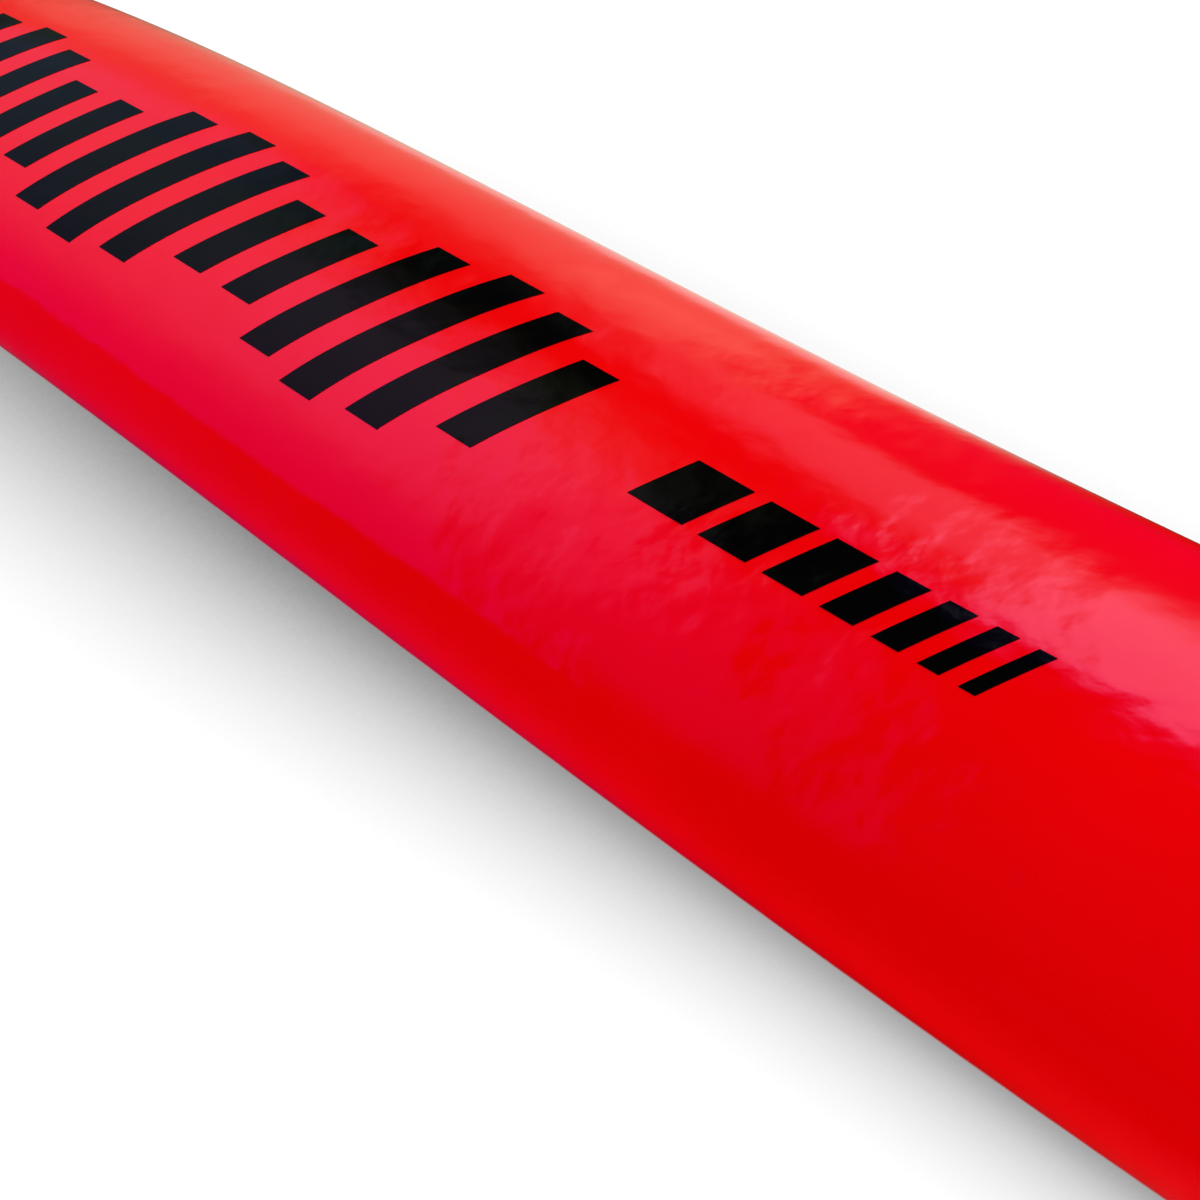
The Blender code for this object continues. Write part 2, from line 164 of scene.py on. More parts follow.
# Sets points given as across and up on the centre line at s: across turns with the heading, and up gains the
# height of the bow.
def placed(s, across, up, ahead=0.0):
    x = np.interp(s, hook["s"], hook["x"]) + np.minimum(s, 0)
    y = np.interp(s, hook["s"], hook["y"])
    heading = np.interp(s, hook["s"], hook["heading"])
    px = x + ahead * np.cos(heading) - across * np.sin(heading)
    py = y + ahead * np.sin(heading) + across * np.cos(heading)
    return np.stack([px, py, up + bowAt(px)], axis=-1) + toFrame


def placedOutline(s, outline, ahead=0.0):
    s = np.asarray(s, float)[:, None]
    return placed(s, outline[..., 0], outline[..., 1], ahead)


# Quads of a grid: each point joins its neighbour along, the one across from that, and its neighbour across.
def gridQuads(rows, columns, start=0, closed=False):
    r = np.arange(rows - 1)[:, None] * columns
    c = np.arange(columns if closed else columns - 1)[None]
    d = (c + 1) % columns
    return (np.stack([r + c, r + columns + c, r + columns + d, r + d], axis=-1) + start).reshape(-1, 4)


# Quads between two closed rings that are given by their first point's number.
def rimQuads(first, second, around):
    c = np.arange(around)
    d = (c + 1) % around
    return np.stack([first + c, second + c, second + d, first + d], axis=-1)


def fanTriangles(ring, tip, around):
    c = np.arange(around)
    return np.stack([ring + c, np.full(around, tip), ring + (c + 1) % around], axis=-1)


# Faces that point outwards: the sum over all faces is six times the volume that they enclose, and where it
# comes out negative they point inwards, so each one's corners are taken the other way round.
def turnedOutwards(points, faceSets):
    volume = 0.0
    for faces in faceSets:
        corner = points[faces[:, 0]]
        for k in range(1, faces.shape[1] - 1):
            volume += (corner * np.cross(points[faces[:, k]], points[faces[:, k + 1]])).sum()
    return faceSets if volume > 0 else [faces[:, ::-1] for faces in faceSets]


def meshPiece(name, points, faceSets, material, sharp=35, uv=None):
    points = points.reshape(-1, 3)
    faceSets = turnedOutwards(points, faceSets)
    mesh = bpy.data.meshes.new(name)
    mesh.from_pydata((points * mm).tolist(), [], [face for faces in faceSets for face in faces.tolist()])
    mesh.shade_smooth()
    mesh.set_sharp_from_angle(angle=math.radians(sharp))
    if uv is not None:
        corners = np.zeros(len(mesh.loops), np.int32)
        mesh.loops.foreach_get("vertex_index", corners)
        layer = mesh.uv_layers.new(name="pieceUV")
        layer.uv.foreach_set("vector", uv.reshape(-1, 2)[corners].astype(np.float32).ravel())
    mesh.materials.append(material)
    piece = bpy.data.objects.new(name, mesh)
    bpy.context.scene.collection.objects.link(piece)
    return piece


# Node groups: each takes a vector and some numbers, and puts out one mask or height that changes over the
# surface. The dictionaries hold the numbers' usual values, as "inputs", and what is fixed inside a group.
def newGroup(name, numbers, output):
    group = bpy.data.node_groups.new(name, "ShaderNodeTree")
    group.interface.new_socket(name="Vector", in_out="INPUT", socket_type="NodeSocketVector")
    for label, value in numbers.items():
        socket = group.interface.new_socket(name=label, in_out="INPUT", socket_type="NodeSocketFloat")
        socket.default_value = value
    group.interface.new_socket(name=output, in_out="OUTPUT", socket_type="NodeSocketFloat")
    return group, group.nodes.new("NodeGroupInput").outputs, group.nodes.new("NodeGroupOutput").inputs[output]


# A node's value, or a link to it where the value is another node's socket.
def feedSocket(tree, socket, value):
    if isinstance(value, bpy.types.NodeSocket):
        tree.links.new(value, socket)
    else:
        socket.default_value = value


def addNode(tree, kind, settings=None, **inputs):
    node = tree.nodes.new(kind)
    for key, value in (settings or {}).items():
        setattr(node, key, value)
    for label, value in inputs.items():
        feedSocket(tree, node.inputs[label.replace("_", " ")], value)
    return node


# One arithmetic step, on numbers or on vectors, whose sockets have no names of their own.
def addMath(tree, operation, *values):
    node = addNode(tree, "ShaderNodeMath", {"operation": operation})
    for socket, value in zip(node.inputs, values):
        feedSocket(tree, socket, value)
    return node.outputs[0]


def addVectorMath(tree, operation, *values):
    node = addNode(tree, "ShaderNodeVectorMath", {"operation": operation})
    for socket, value in zip(node.inputs, values):
        feedSocket(tree, socket, value)
    return node.outputs


mottle = {"inputs": {"Scale": 60.0, "Low": 0.0, "High": 1.0}, "detail": 3.0, "spread": (0.3, 0.7)}


# Soft mottle: the middle range of a cloud noise, spread from the low value to the high one.
def mottleGroup():
    group, given, made = newGroup("softMottle", mottle["inputs"], "Value")
    noise = addNode(group, "ShaderNodeTexNoise", Vector=given["Vector"], Scale=given["Scale"],
                    Detail=mottle["detail"])
    spread = addNode(group, "ShaderNodeMapRange", Value=noise.outputs["Fac"], From_Min=mottle["spread"][0],
                     From_Max=mottle["spread"][1], To_Min=given["Low"], To_Max=given["High"])
    group.links.new(spread.outputs["Result"], made)
    return group


lacquerWaves = {"inputs": {"Wave Scale": 95.0, "Wave Share": 1.5, "Ripple Scale": 230.0, "Ripple Share": 0.4,
                           "Peel Scale": 620.0, "Peel Share": 0.11},
                "drawnOut": (0.7, 1.0, 1.0), "detail": 2.0, "roughness": 0.5}


# Low waves of the moulded skin under the lacquer, with shorter ripples and a fine peel on them: the sum of
# three noises, each times its share. All of them are drawn out along the shaft, as the fibres lie.
def lacquerWavesGroup():
    group, given, made = newGroup("lacquerWaves", lacquerWaves["inputs"], "Height")
    drawnOut = addVectorMath(group, "MULTIPLY", given["Vector"], lacquerWaves["drawnOut"])[0]
    height = 0.0
    for layer in ("Wave", "Ripple", "Peel"):
        noise = addNode(group, "ShaderNodeTexNoise", Vector=drawnOut, Scale=given[layer + " Scale"],
                        Detail=lacquerWaves["detail"], Roughness=lacquerWaves["roughness"])
        share = addMath(group, "MULTIPLY", noise.outputs["Fac"], given[layer + " Share"])
        height = addMath(group, "ADD", share, height)
    group.links.new(height, made)
    return group


dustSpecks = {"inputs": {"Scale": 70.0, "Size": 0.012}, "rareness": 0.72}


# Round specks about a third of a millimetre across: one shows only where the surface passes through the
# middle of a cell of a Voronoi pattern, and only in about one cell of five.
def dustGroup():
    group, given, made = newGroup("dustSpecks", dustSpecks["inputs"], "Mask")
    cell = addNode(group, "ShaderNodeTexVoronoi", Vector=given["Vector"], Scale=given["Scale"])
    rare = addMath(group, "GREATER_THAN", cell.outputs["Color"], dustSpecks["rareness"])
    near = addNode(group, "ShaderNodeMapRange", Value=cell.outputs["Distance"], From_Min=0.0,
                   From_Max=given["Size"], To_Min=1.0, To_Max=0.0)
    group.links.new(addMath(group, "MULTIPLY", rare, near.outputs["Result"]), made)
    return group


pebbleGrain = {"inputs": {"Scale": 900.0}, "detail": 2.0}


# Pebbled grain of rubber and polyurethane: rounded Voronoi cells with a fine noise on them.
def grainGroup():
    group, given, made = newGroup("pebbleGrain", pebbleGrain["inputs"], "Height")
    cell = addNode(group, "ShaderNodeTexVoronoi", {"feature": "SMOOTH_F1"}, Vector=given["Vector"],
                   Scale=given["Scale"])
    noise = addNode(group, "ShaderNodeTexNoise", Vector=given["Vector"], Scale=given["Scale"],
                    Detail=pebbleGrain["detail"])
    group.links.new(addMath(group, "SUBTRACT", noise.outputs["Fac"], cell.outputs["Distance"]), made)
    return group


perforations = {"inputs": {"Pitch": 3.0, "Radius": 0.16}, "bottomShare": 0.55}


# Rows of round holes on a piece's own UV map, every other row half a pitch on: the distance from the middle
# of a square cell, as a share of the pitch, against the hole's radius and the radius of its bottom.
def perforationGroup():
    group, given, made = newGroup("perforations", perforations["inputs"], "Mask")
    split = addNode(group, "ShaderNodeSeparateXYZ", Vector=given["Vector"])
    row = addMath(group, "DIVIDE", split.outputs["Y"], given["Pitch"])
    odd = addMath(group, "MULTIPLY", addMath(group, "MODULO", addMath(group, "FLOOR", row), 2.0), 0.5)
    column = addMath(group, "ADD", addMath(group, "DIVIDE", split.outputs["X"], given["Pitch"]), odd)
    fromColumn = addMath(group, "SUBTRACT", addMath(group, "FRACT", column), 0.5)
    fromRow = addMath(group, "SUBTRACT", addMath(group, "FRACT", row), 0.5)
    squared = addMath(group, "ADD", addMath(group, "MULTIPLY", fromColumn, fromColumn),
                      addMath(group, "MULTIPLY", fromRow, fromRow))
    bottom = addMath(group, "MULTIPLY", given["Radius"], perforations["bottomShare"])
    hole = addNode(group, "ShaderNodeMapRange", {"interpolation_type": "SMOOTHSTEP"},
                   Value=addMath(group, "SQRT", squared), From_Min=given["Radius"], From_Max=bottom,
                   To_Min=0.0, To_Max=1.0)
    # the mask sinks the holes, and in the grip's finish it also darkens them as painted shade
    group.links.new(hole.outputs["Result"], made)
    return group


twillWeave = {"inputs": {"Pitch": 4 * mm}, "threads": 4.0, "threadsOver": 2.0}


# Twill of a carbon sleeve: two sets of slanted bands, one step over at each crossing.
def twillGroup():
    group, given, made = newGroup("twillWeave", twillWeave["inputs"], "Mask")
    split = addNode(group, "ShaderNodeSeparateXYZ", Vector=given["Vector"])
    warp = addMath(group, "FLOOR", addMath(group, "DIVIDE", split.outputs["X"], given["Pitch"]))
    weft = addMath(group, "FLOOR", addMath(group, "DIVIDE", split.outputs["Y"], given["Pitch"]))
    stepped = addMath(group, "FLOORED_MODULO", addMath(group, "ADD", warp, weft), twillWeave["threads"])
    group.links.new(addMath(group, "LESS_THAN", stepped, twillWeave["threadsOver"]), made)
    return group


groups = {
    "mottle": mottleGroup(),
    "waves": lacquerWavesGroup(),
    "dust": dustGroup(),
    "grain": grainGroup(),
    "holes": perforationGroup(),
    "twill": twillGroup(),
}

# Finishes. "shade" names the group that mixes the two colours and "relief" the one that lifts the surface,
# each with its own values. "rough" is one roughness, or the scale of a mottle and the range that it spans.
# "marks" names the group of specks or holes, which take their own colour and may cut into the relief.
# The specks' colour is the dust's own; the near-black in the grip's holes is painted shade in them.
finishes = {
    "redLacquer": {"shade": ("mottle", {"Scale": 25.0}), "colours": ((0.85, 0.0, 0.0), (0.90, 0.0, 0.001)),
                   "marks": ("dust", {}), "marksOn": "Object", "dustColourAndHoleShade": (1.0, 0.25, 0.25),
                   "rough": (140.0, 0.035, 0.055), "relief": ("waves", {}), "reliefHeight": 0.13 * mm,
                   "level": 0.5, "tint": (1.0, 0.1, 1.0)},
    "printInk": {"shade": ("mottle", {"Scale": 40.0}),
                 "colours": ((0.0006, 0.0005, 0.0005), (0.0012, 0.001, 0.0011)),
                 "rough": (140.0, 0.035, 0.055), "relief": ("waves", {}), "reliefHeight": 0.13 * mm,
                 "level": 0.08, "tint": (0.68, 0.62, 0.8)},
    "gripPolyurethane": {"shade": ("mottle", {"Scale": 50.0}),
                         "colours": ((0.010, 0.010, 0.011), (0.022, 0.022, 0.024)),
                         # the holes' near-black is painted shade, darkest at their bottoms, over the sunken
                         # relief
                         "marks": ("holes", {}), "marksOn": "UV", "dustColourAndHoleShade": (0.002, 0.002, 0.002),
                         "rough": (110.0, 0.5, 0.68), "relief": ("grain", {"Scale": 1100.0}),
                         "reliefUnderMarks": 0.25, "reliefHeight": 0.35 * mm, "level": 0.45},
    "tapeVinyl": {"shade": ("mottle", {"Scale": 90.0}),
                  "colours": ((0.012, 0.012, 0.013), (0.02, 0.02, 0.022)), "rough": (160.0, 0.28, 0.42),
                  "relief": ("mottle", {"Scale": 260.0}), "reliefHeight": 0.08 * mm, "level": 0.5},
    "capRubber": {"shade": ("mottle", {"Scale": 120.0}),
                  "colours": ((0.014, 0.014, 0.015), (0.024, 0.024, 0.026)), "rough": (200.0, 0.42, 0.6),
                  "relief": ("grain", {"Scale": 1500.0}), "reliefHeight": 0.06 * mm, "level": 0.5},
    "cushionFoam": {"shade": ("mottle", {"Scale": 200.0}),
                    "colours": ((0.045, 0.045, 0.05), (0.075, 0.075, 0.08)), "rough": 0.85,
                    "relief": ("grain", {"Scale": 1200.0}), "reliefHeight": 0.1 * mm, "level": 0.3},
    "rigidFoam": {"shade": ("mottle", {"Scale": 700.0 / 6}),
                  "colours": ((0.72, 0.64, 0.42), (0.82, 0.75, 0.54)), "rough": 0.9,
                  "relief": ("grain", {"Scale": 700.0}), "reliefHeight": 0.2 * mm, "level": 0.3},
    "carbonTwill": {"shade": ("twill", {}), "colours": ((0.018, 0.018, 0.019), (0.045, 0.045, 0.048)),
                    "rough": (300.0, 0.36, 0.5), "relief": ("twill", {}), "reliefHeight": 0.05 * mm,
                    "level": 0.5},
}


def placeGroup(tree, use, vector):
    name, values = use
    node = addNode(tree, "ShaderNodeGroup", {"node_tree": groups[name]}, Vector=vector)
    for label, value in values.items():
        node.inputs[label].default_value = value
    return node.outputs[0]


# Inputs 6 and 7 of a Mix node are its two colours, and output 2 is what they mix to.
def mixColours(tree, share, first, second):
    node = addNode(tree, "ShaderNodeMix", {"data_type": "RGBA"}, Factor=share)
    feedSocket(tree, node.inputs[6], first)
    feedSocket(tree, node.inputs[7], (*second, 1))
    return node.outputs[2]


def makeMaterial(name):
    look = finishes[name]
    material = bpy.data.materials.new(name)
    material.use_nodes = True
    tree = material.node_tree
    shader = tree.nodes["Principled BSDF"].inputs
    shader["Specular IOR Level"].default_value = look["level"]
    shader["Specular Tint"].default_value = (*look.get("tint", (1, 1, 1)), 1)
    where = addNode(tree, "ShaderNodeTexCoord").outputs
    first, second = look["colours"]
    colour = mixColours(tree, placeGroup(tree, look["shade"], where["Object"]), (*first, 1), second)
    height = placeGroup(tree, look["relief"], where["Object"])
    if "marks" in look:
        # marks lay their colour over the mottle: the dust specks' own colour, or painted shade in the grip's
        # holes
        marks = placeGroup(tree, look["marks"], where[look["marksOn"]])
        colour = mixColours(tree, marks, colour, look["dustColourAndHoleShade"])
    if "reliefUnderMarks" in look:
        height = addMath(tree, "SUBTRACT", addMath(tree, "MULTIPLY", height, look["reliefUnderMarks"]), marks)
    rough = look["rough"]
    if isinstance(rough, tuple):
        wander = {"Scale": rough[0], "Low": rough[1], "High": rough[2]}
        rough = placeGroup(tree, ("mottle", wander), where["Object"])
    bump = addNode(tree, "ShaderNodeBump", Height=height, Distance=look["reliefHeight"], Strength=1.0)
    feedSocket(tree, shader["Base Color"], colour)
    feedSocket(tree, shader["Roughness"], rough)
    feedSocket(tree, shader["Normal"], bump.outputs["Normal"])
    return material


materials = {name: makeMaterial(name) for name in finishes}
print("materials made:", ", ".join(materials))

# Laminate skin, lacquered, from the open butt to the closed toe
skin = {"cornerSteps": 9, "domeSteps": 46, "flatSteps": 9, "shaftStep": 2.5, "hookStep": 1.7, "toeRings": 14,
        "innerStep": 9.0, "lastToeAngle": math.radians(86)}


# Rings round the toe: the end section's halves shrink with the cosine of an angle about an upright axis while
# they move ahead with its sine, and each point takes the section's height at its distance from that axis.
def toeRings(outline):
    reach = outline[:, 0].max()
    widest = outline[skin["cornerSteps"], 1]
    order = np.argsort(np.abs(outline[:, 0]))
    upper = order[outline[order, 1] >= widest]
    lower = order[outline[order, 1] <= widest]
    angle = np.linspace(0, skin["lastToeAngle"], skin["toeRings"] + 1)[1:, None]
    across = outline[None, :, 0] * np.cos(angle)
    fromAxis = np.hypot(across, reach * np.sin(angle))
    top = np.interp(fromAxis, np.abs(outline[upper, 0]), outline[upper, 1])
    bottom = np.interp(fromAxis, np.abs(outline[lower, 0]), outline[lower, 1])
    up = np.where(outline[None, :, 1] > widest, top, bottom)
    rings = placed(np.full_like(across, hookEnd), across, up, reach * np.sin(angle))
    tip = placed(np.array([hookEnd]), np.zeros(1), np.array([widest]), reach)
    return rings, tip


def skinRings(depth, places):
    outline = outlineAt(places, skin["cornerSteps"], skin["domeSteps"], skin["flatSteps"])
    outline = movedIn(outline, depth)
    toe, tip = toeRings(outline[-1])
    return np.concatenate([placedOutline(places, outline), toe]), tip


def makeSkin():
    shaftPlaces = np.linspace(buttPlace, 0, 1 + round(-buttPlace / skin["shaftStep"]))
    hookPlaces = np.linspace(0, hookEnd, 1 + round(hookEnd / skin["hookStep"]))[1:]
    innerPlaces = np.linspace(buttPlace, hookEnd, 1 + round((hookEnd - buttPlace) / skin["innerStep"]))
    outer, outerTip = skinRings(0, np.concatenate([shaftPlaces, hookPlaces]))
    inner, innerTip = skinRings(stick["wall"], innerPlaces)
    around = outer.shape[1]
    innerStart = outer.shape[0] * around
    tips = innerStart + inner.shape[0] * around
    points = np.concatenate([outer.reshape(-1, 3), inner.reshape(-1, 3), outerTip, innerTip])
    quads = np.concatenate([gridQuads(outer.shape[0], around, closed=True),
                            gridQuads(inner.shape[0], around, innerStart, closed=True)[:, ::-1],
                            rimQuads(0, innerStart, around)[:, ::-1]])
    triangles = np.concatenate([fanTriangles(innerStart - around, tips, around),
                                fanTriangles(tips - around, tips + 1, around)[:, ::-1]])
    return meshPiece("laminateSkin", points, [quads, triangles], materials["redLacquer"])


laminateSkin = makeSkin()
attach(laminateSkin, "root")
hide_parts("outer_laminate")
print("laminate skin:", len(laminateSkin.data.polygons), "faces")

# Black print under the lacquer: a row of slanted bars whose lengths swell and shrink like a pulse, and a row
# of small blocks beyond them. Places are along the centre line, in millimetres from the start of the bend.
printed = {"headEnd": -95.0, "bars": 20, "barWidth": 5.8, "barPitch": 10.4, "middle": -1.0,
           "reach": (4.5, 11.5), "swell": 0.62, "phase": 0.35, "slant": 0.45,
           "blocksFrom": -31.0, "blockWidths": [2.0, 2.6, 3.4, 4.3, 5.4, 6.6, 8.0], "blockGap": 2.3,
           "blockTop": 2.7, "blockHeight": 6.3, "step": 1.6, "leastAlong": 3, "leastAcross": 4,
           "proud": 0.05, "sunk": 0.3, "probe": 0.1}


# Closed slab on the dome over a slanted block, with points twice as close across as along. The top is the
# skin moved out and the underside the skin moved in, square to the dome, whose slopes come from points a
# short probe away.
def printBlock(fromPlace, toPlace, top, height):
    along = max(printed["leastAlong"], 1 + round((toPlace - fromPlace) / printed["step"]))
    across = max(printed["leastAcross"], 1 + round(height / printed["step"] * 2))
    v = np.linspace(top - height, top, across)[None] + np.zeros((along, 1))
    s = np.linspace(fromPlace, toPlace, along)[:, None] + printed["slant"] * (v - top + height / 2)
    probe = printed["probe"]
    base = placed(s, v, domeAt(s, v))
    alongStep = placed(s + probe, v, domeAt(s + probe, v)) - base
    acrossStep = placed(s, v + probe, domeAt(s, v + probe)) - base
    normal = np.cross(alongStep, acrossStep)
    normal = normal / np.linalg.norm(normal, axis=-1, keepdims=True)
    upper = base + normal * printed["proud"]
    lower = base - normal * printed["sunk"]
    count = along * across
    number = np.arange(count).reshape(along, across)
    edge = np.concatenate([number[:-1, 0], number[-1, :-1], number[:0:-1, -1], number[0, :0:-1]])
    after = np.roll(edge, -1)
    walls = np.stack([edge, edge + count, after + count, after], axis=-1)
    quads = np.concatenate([gridQuads(along, across), gridQuads(along, across, count)[:, ::-1], walls])
    return np.concatenate([upper.reshape(-1, 3), lower.reshape(-1, 3)]), quads


# Each bar reaches out from the row's middle by a length that follows the size of a sine along the row.
def printedBlocks():
    least, most = printed["reach"]
    for bar in range(printed["bars"]):
        end = printed["headEnd"] - bar * printed["barPitch"]
        reach = least + (most - least) * abs(math.sin(printed["phase"] + printed["swell"] * bar))
        start = end - printed["barWidth"]
        yield start, end, printed["middle"] + reach, 2 * reach
    end = printed["blocksFrom"]
    for width in printed["blockWidths"]:
        yield end - width, end, printed["blockTop"], printed["blockHeight"]
        end -= width + printed["blockGap"]


def makePrint():
    points = []
    quads = []
    start = 0
    for block in printedBlocks():
        blockPoints, blockQuads = printBlock(*block)
        points.append(blockPoints)
        quads.append(blockQuads + start)
        start += len(blockPoints)
    return meshPiece("shaftPrint", np.concatenate(points), [np.concatenate(quads)], materials["printInk"])


shaftPrint = makePrint()
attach(shaftPrint, "root")
print("print:", len(shaftPrint.data.polygons), "faces")

# Layers of the grip, as distances out from the laminate's surface
layers = {"gap": 0.3, "underlay": 1.0, "tape": 1.6, "tapeEdge": 0.9, "bevel": 1.6, "pitch": 21.5, "seam": 0.7,
          "leastWidth": 2.5, "topPoints": 19, "underPoints": 5, "sharpAngle": 50}
layers["underlayOutside"] = layers["gap"] + layers["underlay"]
layers["tapeInside"] = layers["underlayOutside"] + layers["gap"]
layers["tapeOutside"] = layers["tapeInside"] + layers["tape"]
gripStart = buttPlace + layers["gap"]
gripEnd = gripStart + stick["gripLength"]
handleSteps = {"cornerSteps": 14, "domeSteps": 60, "flatSteps": 8}


# The handle's outline at a height out from the laminate, with an even number of points round it.
def handleOutline(height):
    return movedIn(outlineAt([buttPlace], **handleSteps)[0], -height)


# Wound tape: the middle of the strip moves along by one pitch each turn, and its profile is flat below. Its
# edges rise from the edge thickness to the full thickness on a quarter of a sine, over the bevel's width or a
# third of the strip where it is cut narrow.
def makeGrip():
    ringCount = len(handleOutline(0))
    turns = stick["gripLength"] / layers["pitch"] + 1
    k = np.arange(math.ceil(turns * ringCount) + 1)
    middle = gripStart - layers["pitch"] / 2 + layers["pitch"] * k / ringCount
    half = (layers["pitch"] - layers["seam"]) / 2
    low = np.maximum(middle - half, gripStart)
    high = np.minimum(middle + half, gripEnd)
    kept = high - low >= layers["leastWidth"]
    k, low, high = k[kept], low[kept][:, None], high[kept][:, None]
    share = (1 - np.cos(np.linspace(0, math.pi, layers["topPoints"])))[None] / 2
    top = low + (high - low) * share
    bevel = np.minimum(layers["bevel"], (high - low) / 3)
    fromEdge = np.clip(np.minimum(top - low, high - top) / bevel, 0, 1)
    rise = np.sin(fromEdge * math.pi / 2)
    topHeight = layers["tapeInside"] + layers["tapeEdge"] + (layers["tape"] - layers["tapeEdge"]) * rise
    under = high + (low - high) * np.linspace(0, 1, layers["underPoints"])[None]
    s = np.concatenate([top, under], axis=1)
    height = np.concatenate([topHeight, np.full_like(under, layers["tapeInside"])], axis=1)
    base = handleOutline(0)
    out = handleOutline(1) - base
    spot = k % ringCount
    across = base[spot, 0][:, None] + height * out[spot, 0][:, None]
    up = base[spot, 1][:, None] + height * out[spot, 1][:, None]
    points = placed(s, across, up)
    rows, columns = s.shape
    girth = np.linalg.norm(np.roll(base, -1, axis=0) - base, axis=1)
    travelled = np.concatenate([[0], np.cumsum(girth[k % ringCount])])[:-1]
    uv = np.stack([travelled[:, None] + s * 0, s - (low + high) / 2], axis=-1)
    quads = gridQuads(rows, columns, closed=True)
    startCap = np.arange(columns)[None]
    endCap = startCap[:, ::-1] + (rows - 1) * columns
    return meshPiece("woundGrip", points, [quads, startCap, endCap], materials["gripPolyurethane"],
                     layers["sharpAngle"], uv)


woundGrip = makeGrip()
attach(woundGrip, "root")
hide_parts("grip_tape")
print("wound grip:", len(woundGrip.data.polygons), "faces")


# Sleeve between two height functions along the stick: the outer rings run one way, the inner ones back.
def makeSleeve(name, s, outerHeight, innerHeight, material, sharp=35):
    base = handleOutline(0)
    out = handleOutline(1) - base
    count = len(base)
    loop = np.concatenate([s, s[::-1]])[:, None]
    height = np.concatenate([outerHeight, innerHeight[::-1]])
    across = base[None, :, 0] + height * out[None, :, 0]
    up = base[None, :, 1] + height * out[None, :, 1]
    points = placed(loop + across * 0, across, up)
    rings = len(loop)
    quads = np.concatenate([gridQuads(rings, count, closed=True), rimQuads((rings - 1) * count, 0, count)])
    return meshPiece(name, points, [quads], material, sharp)


underlay = {"shortBy": 4.5, "rings": 150, "pressedIn": 0.12}


# Foam underlay: pressed in a little along the middle of each turn of the tape.
def makeUnderlay():
    end = gripEnd - underlay["shortBy"]
    s = np.linspace(gripStart, end, underlay["rings"])
    around = len(handleOutline(0))
    turn = (s[:, None] - gripStart) / layers["pitch"] - np.arange(around)[None] / around
    pressed = underlay["pressedIn"] * (1 + np.cos(2 * math.pi * turn)) / 2
    outer = layers["underlayOutside"] - pressed
    inner = np.full_like(outer, layers["gap"])
    return makeSleeve("gripUnderlay", s, outer, inner, materials["cushionFoam"])


gripUnderlay = makeUnderlay()
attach(gripUnderlay, "root")
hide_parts("cushion_underlay")

# Finishing tape over the grip's lower edge
finish = {"thickness": 0.5, "onGrip": 9.0, "step": 3.0, "onShaft": 14.0, "fallAhead": 0.6, "edgeRound": 0.35,
          "edgeShare": 0.35, "flap": 0.14, "flapAt": 0.18, "rings": 90, "sharpAngle": 40}


# Vinyl band: its height falls from the grip to the shaft on a smooth step, thins to its rounded edges, and
# climbs by the flap's thickness round the handle until the tape's own end.
def makeFinishTape():
    edge = gripEnd + layers["gap"]
    start = gripEnd - finish["onGrip"]
    foot = edge + finish["step"]
    end = foot + finish["onShaft"]
    s = np.linspace(start, end, finish["rings"])
    t = np.clip((s - edge + finish["fallAhead"]) / (finish["step"] + finish["fallAhead"]), 0, 1)
    fall = (t * t * (3 - 2 * t))[:, None]
    count = len(handleOutline(0))
    turn = (np.arange(count)[None] / count - finish["flapAt"]) % 1.0
    inner = layers["gap"] + layers["tapeOutside"] * (1 - fall) + turn * 0
    fromEdge = np.minimum(s - start, end - s)[:, None] / finish["edgeRound"]
    rounded = np.sqrt(np.clip(1 - (1 - np.clip(fromEdge, 0, 1)) ** 2, 0, 1))
    thickness = finish["thickness"] - finish["flap"] + finish["flap"] * turn
    thickness = thickness * (finish["edgeShare"] + (1 - finish["edgeShare"]) * rounded)
    return makeSleeve("finishTape", s, inner + thickness, inner, materials["tapeVinyl"], finish["sharpAngle"])


finishTape = makeFinishTape()
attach(finishTape, "root")
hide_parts("finishing_tape")

# Butt cap
cap = {"lipRound": 1.8, "spigot": 13.0, "roundSteps": 8, "grooveAt": 0.80, "grooveWidth": 0.05,
       "grooveDepth": 0.5, "faceRings": 26, "innerRing": 0.04, "lipSide": 1.0, "sharpAngle": 40}


